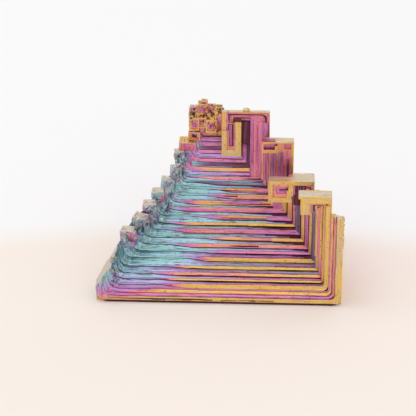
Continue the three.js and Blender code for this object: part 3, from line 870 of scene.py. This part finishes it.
# the film at each corner of each face: its own, and left of its lead the teal of that side
corner_point = np.zeros(len(skin.loops), int)
skin.loops.foreach_get("vertex_index", corner_point)
spots = np.zeros(len(skin.vertices) * 3)
skin.vertices.foreach_get("co", spots)
spots = (spots.reshape(-1, 3) - to_frame(np.zeros(3)))[corner_point] / MM
corners_of = np.zeros(len(skin.polygons), int)
skin.polygons.foreach_get("loop_total", corners_of)
own = {}
for key in ("oxide", "lead", "worn", "grain"):
    own[key] = np.zeros(len(skin.polygons))
    skin.attributes[key].data.foreach_get("value", own[key])
x, z = spots[:, 0], spots[:, 2]
share = np.clip((np.repeat(own["lead"], corners_of) - x) / TURN_WIDTH, 0, 1)
share = share * share * (3 - 2 * share)
film = np.repeat(own["oxide"], corners_of) * (1 - share) + keyed(TEAL_KEYS, z) * share
skin.attributes.new("film", "FLOAT", "CORNER").data.foreach_set(
    "value", film.astype(np.float32))

# bismuth under its own oxide: silver metal whose clear film is tens of nanometres thick, so
# that the eye sees gold, pink, violet, blue, teal and maroon in order as it thickens
FILM_END = 1.3
GROOVE = "#6d3f48"  # the dark of growth lines and pin-holes
DUST = "#d0c0b2"  # the pale grey of rubbed and dusty metal
# past 1.1 the ramp runs to dark maroon, which also serves as painted shade in slots and hollows
FILM_COLOURS = ((0.00, "#dbd3c8"), (0.07, "#e6d9bd"), (0.14, "#e2c888"), (0.24, "#efc660"),
                (0.32, "#f2b873"), (0.40, "#f4a78e"), (0.48, "#ee8cb0"), (0.56, "#d686c6"),
                (0.66, "#c2acde"), (0.76, "#aec3e2"), (0.86, "#a6dade"), (1.00, "#93cdcd"),
                (1.10, "#8a7c9c"), (1.20, "#6d3c50"), (1.30, "#4f2728"))
metal, tree = new_material("bismuth_oxide_film")
where = add_node(tree, "ShaderNodeTexCoord")
film_at = add_node(tree, "ShaderNodeAttribute", {"attribute_name": "film"})
worn_at = add_node(tree, "ShaderNodeAttribute", {"attribute_name": "worn"})
grain_at = add_node(tree, "ShaderNodeAttribute", {"attribute_name": "grain"})
# growth streaks follow the terraces: about 16 mm long and 0.7 mm apart, across or upright
ALONG, DEEP, APART = 0.06 / MM, 1.1 / MM, 1.5 / MM
lay_across = add_node(tree, "ShaderNodeMapping", {"Scale": (ALONG, DEEP, APART)},
                      Vector=where.outputs["Object"])
lay_upright = add_node(tree, "ShaderNodeMapping", {"Scale": (APART, DEEP, ALONG)},
                       Vector=where.outputs["Object"])
lay = add_node(tree, "ShaderNodeMix", {"data_type": "VECTOR"}, Factor=grain_at.outputs["Fac"],
               in4=lay_across.outputs["Vector"], in5=lay_upright.outputs["Vector"])
streak = add_node(tree, "ShaderNodeTexNoise", {"Scale": 1.0, "Detail": 3.0, "Roughness": 0.6},
                  Vector=lay.outputs[1])
shift = add_node(tree, "ShaderNodeMapRange", {"From Min": 0.25, "From Max": 0.75,
                                              "To Min": -0.13, "To Max": 0.13},
                 Value=streak.outputs["Fac"])
total = add_node(tree, "ShaderNodeMath", {"operation": "ADD"},
                 in0=film_at.outputs["Fac"], in1=shift.outputs["Result"])
share = add_node(tree, "ShaderNodeMapRange", {"From Max": FILM_END}, Value=total.outputs["Value"])
ramp = add_node(tree, "ShaderNodeValToRGB", Fac=share.outputs["Result"])
stops = ramp.color_ramp.elements
while len(stops) < len(FILM_COLOURS):
    stops.new(0.5)
for stop, (at, code) in zip(stops, FILM_COLOURS):
    stop.position, stop.color = at / FILM_END, linear(code)
# fine growth lines: dark where a finer noise crosses its middle, 0.3 mm apart
line = add_node(tree, "ShaderNodeTexNoise", {"Scale": 2.3, "Detail": 2.0, "Roughness": 0.5},
                Vector=lay.outputs[1])
off_middle = add_node(tree, "ShaderNodeMath", {"operation": "SUBTRACT"},
                      in0=line.outputs["Fac"])
off_middle.inputs[1].default_value = 0.47
off_middle = add_node(tree, "ShaderNodeMath", {"operation": "ABSOLUTE"},
                      in0=off_middle.outputs["Value"])
crack = add_node(tree, "ShaderNodeMapRange", {"From Min": 0.008, "From Max": 0.042,
                                              "To Min": 1.0, "To Max": 0.0},
                 Value=off_middle.outputs["Value"])
# they show least on the gold
strength = add_node(tree, "ShaderNodeMapRange", {"From Min": 0.3, "From Max": 0.75,
                                                 "To Min": 0.3, "To Max": 0.85},
                    Value=total.outputs["Value"])
crack = add_node(tree, "ShaderNodeMath", {"operation": "MULTIPLY"},
                 in0=crack.outputs["Result"], in1=strength.outputs["Result"])
darker = add_node(tree, "ShaderNodeMix", {"data_type": "RGBA"}, Factor=crack.outputs["Value"],
                  in6=ramp.outputs["Color"])
darker.inputs[7].default_value = linear(GROOVE)
# pin-holes in the film: dark specks about 0.3 mm apart, coarser than real ones to show
pin = add_node(tree, "ShaderNodeTexNoise", {"Scale": 3.4 / MM, "Detail": 1.0},
               Vector=where.outputs["Object"])
pinned = add_node(tree, "ShaderNodeMapRange", {"From Min": 0.35, "From Max": 0.27,
                                               "To Max": 0.75}, Value=pin.outputs["Fac"])
pitted = add_node(tree, "ShaderNodeMix", {"data_type": "RGBA"}, Factor=pinned.outputs["Result"],
                  in6=darker.outputs[2])
pitted.inputs[7].default_value = linear(GROOVE)
# rubbed and dusty patches, pale grey: specks about 0.6 mm across
speck = add_node(tree, "ShaderNodeTexNoise", {"Scale": 1.6 / MM, "Detail": 4.0,
                                              "Roughness": 0.65},
                 Vector=where.outputs["Object"])
spread = add_node(tree, "ShaderNodeMath", {"operation": "ADD"}, in0=speck.outputs["Fac"],
                  in1=worn_at.outputs["Fac"])
rubbed = add_node(tree, "ShaderNodeMapRange", {"From Min": 0.88, "From Max": 1.06},
                  Value=spread.outputs["Value"])
greyed = add_node(tree, "ShaderNodeMix", {"data_type": "RGBA"}, Factor=rubbed.outputs["Result"],
                  in6=pitted.outputs[2])
greyed.inputs[7].default_value = linear(DUST)
dull = add_node(tree, "ShaderNodeMapRange", {"From Min": 0.3, "From Max": 0.7,
                                             "To Min": 0.34, "To Max": 0.52},
                Value=speck.outputs["Fac"])
bump = add_node(tree, "ShaderNodeBump", {"Strength": 0.5, "Distance": 0.06 * MM},
                Height=streak.outputs["Fac"])
shader = add_node(tree, "ShaderNodeBsdfPrincipled", {"Metallic": 1.0},
                  Base_Color=greyed.outputs[2], Roughness=dull.outputs["Result"],
                  Normal=bump.outputs["Normal"])
add_node(tree, "ShaderNodeOutputMaterial", Surface=shader.outputs["BSDF"])
crystal.data.materials.clear()
crystal.data.materials.append(metal)
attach(crystal, "root")
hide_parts("bismuth_crystal")
